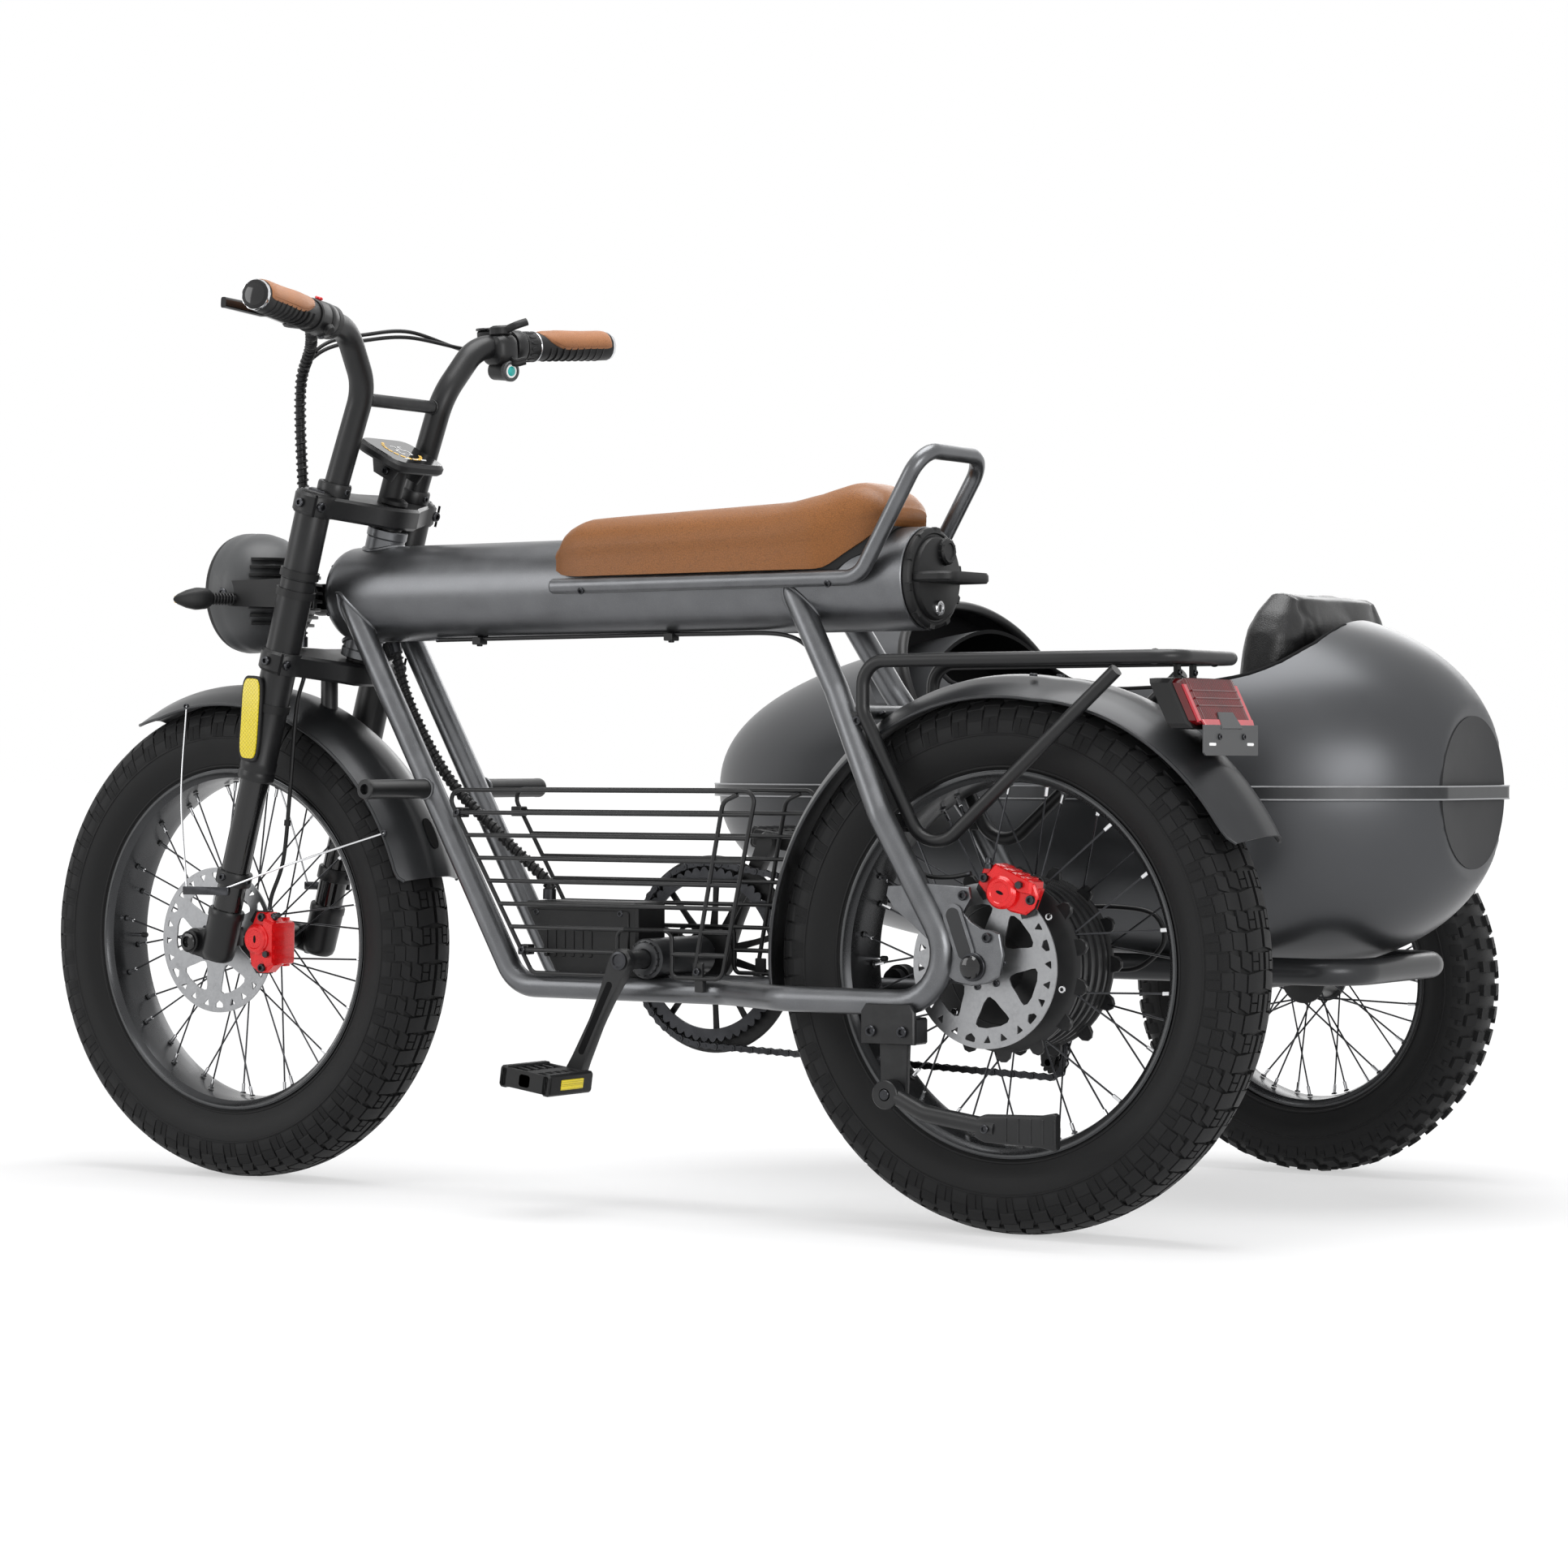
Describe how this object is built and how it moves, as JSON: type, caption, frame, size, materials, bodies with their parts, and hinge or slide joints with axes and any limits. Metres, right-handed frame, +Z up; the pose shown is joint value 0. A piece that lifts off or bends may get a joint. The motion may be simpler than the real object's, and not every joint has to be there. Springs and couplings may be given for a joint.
{
  "type": "electric bike with sidecar",
  "caption": "Fat-tyred electric bike with a tube frame, sprung fork, brown saddle, rear rack and a one-seat egg-shaped sidecar on its own wheel.",
  "frame": {"origin": "on the floor, below the middle of the vehicle's bounding box", "axes": "+X forward, +Y to the rider's left (the sidecar is on -Y), +Z up"},
  "size_m": [1.7836, 1.1982, 1.0703],
  "materials": {
    "graphite_paint": "metallic satin",
    "black_paint": "satin",
    "battery_case": "matte",
    "charcoal_paint": "satin",
    "pod_paint": "satin",
    "tyre_rubber": "matte",
    "brown_leather": "grained",
    "black_leather": "grained",
    "steel": "brushed",
    "red_paint": "gloss",
    "red_lens": "gloss",
    "display_glass": "gloss",
    "black_rubber": "matte"
  },
  "bodies": {
    "frame": {"main_tube": "graphite_paint", "battery_pack": "battery_case", "battery_cap": "black_paint", "frame_loop_left": "graphite_paint", "frame_loop_right": "graphite_paint", "bottom_bracket": "charcoal_paint", "controller_box": "black_paint", "grille_left": "black_paint", "grille_right": "black_paint", "seat": "brown_leather", "seat_rail": "graphite_paint", "rear_rack": "black_paint", "rear_fender": "charcoal_paint", "tail_lamp": "red_lens", "rear_axle": "black_paint", "rear_caliper": "red_paint", "stand_bracket": "black_paint", "chain": "steel", "derailleur": "black_paint", "frame_loom": "black_rubber", "rear_hose": "black_rubber", "motor_cable": "black_rubber", "sidecar_chassis": "charcoal_paint", "pod_lower": "pod_paint", "pod_upper": "pod_paint", "pod_belt": "black_rubber", "pod_cowl": "pod_paint", "pod_seat": "black_leather", "pod_backrest": "black_leather"},
    "steering": {"fork_crowns": "black_paint", "fork_leg_left": "black_paint", "fork_leg_right": "black_paint", "front_axle": "black_paint", "handlebar": "black_paint", "grip_left": "brown_leather", "grip_right": "brown_leather", "control_left": "black_paint", "control_right": "black_paint", "display": "display_glass", "headlamp": "black_paint", "front_fender": "charcoal_paint", "front_caliper": "red_paint", "front_loom": "black_rubber", "front_hose": "black_rubber"},
    "front_wheel": {"front_tyre": "tyre_rubber", "front_wheel": "black_paint", "front_brake_disc": "steel"},
    "rear_wheel": {"rear_tyre": "tyre_rubber", "rear_wheel_motor": "black_paint", "rear_brake_disc": "steel", "rear_sprocket": "steel"},
    "sidecar_wheel": {"sidecar_tyre": "tyre_rubber", "sidecar_wheel": "black_paint"},
    "crank": {"crankset": "black_paint", "chainring": "black_paint"},
    "pedal_left": {"left_pedal": "black_paint"},
    "pedal_right": {"right_pedal": "black_paint"},
    "kickstand": {"kickstand": "black_paint"}
  },
  "joints": [
    {"name": "steering", "type": "hinge", "parent": "frame", "child": "steering", "pos_m": [0.3938, 0.25292, 0.724], "axis": [-0.2731, 0, 0.962], "range_deg": [-40, 40]},
    {"name": "front_wheel_spin", "type": "hinge", "parent": "steering", "child": "front_wheel", "pos_m": [0.5938, 0.25292, 0.298], "axis": [0, 1, 0], "continuous": true},
    {"name": "rear_wheel_spin", "type": "hinge", "parent": "frame", "child": "rear_wheel", "pos_m": [-0.5202, 0.25292, 0.298], "axis": [0, 1, 0], "continuous": true},
    {"name": "sidecar_wheel_spin", "type": "hinge", "parent": "frame", "child": "sidecar_wheel", "pos_m": [-0.4942, -0.53809, 0.244], "axis": [0, 1, 0], "continuous": true},
    {"name": "crank_spin", "type": "hinge", "parent": "frame", "child": "crank", "pos_m": [-0.0532, 0.25292, 0.292], "axis": [0, 1, 0], "continuous": true},
    {"name": "left_pedal_spin", "type": "hinge", "parent": "crank", "child": "pedal_left", "pos_m": [0.01535, 0.36022, 0.15746], "axis": [0, 1, 0], "continuous": true},
    {"name": "right_pedal_spin", "type": "hinge", "parent": "crank", "child": "pedal_right", "pos_m": [-0.12175, 0.14561, 0.42654], "axis": [0, 1, 0], "continuous": true},
    {"name": "stand_swing", "type": "hinge", "parent": "frame", "child": "kickstand", "pos_m": [-0.4212, 0.36891, 0.157], "axis": [0, -1, 0], "range_deg": [0, 28]}
  ]
}
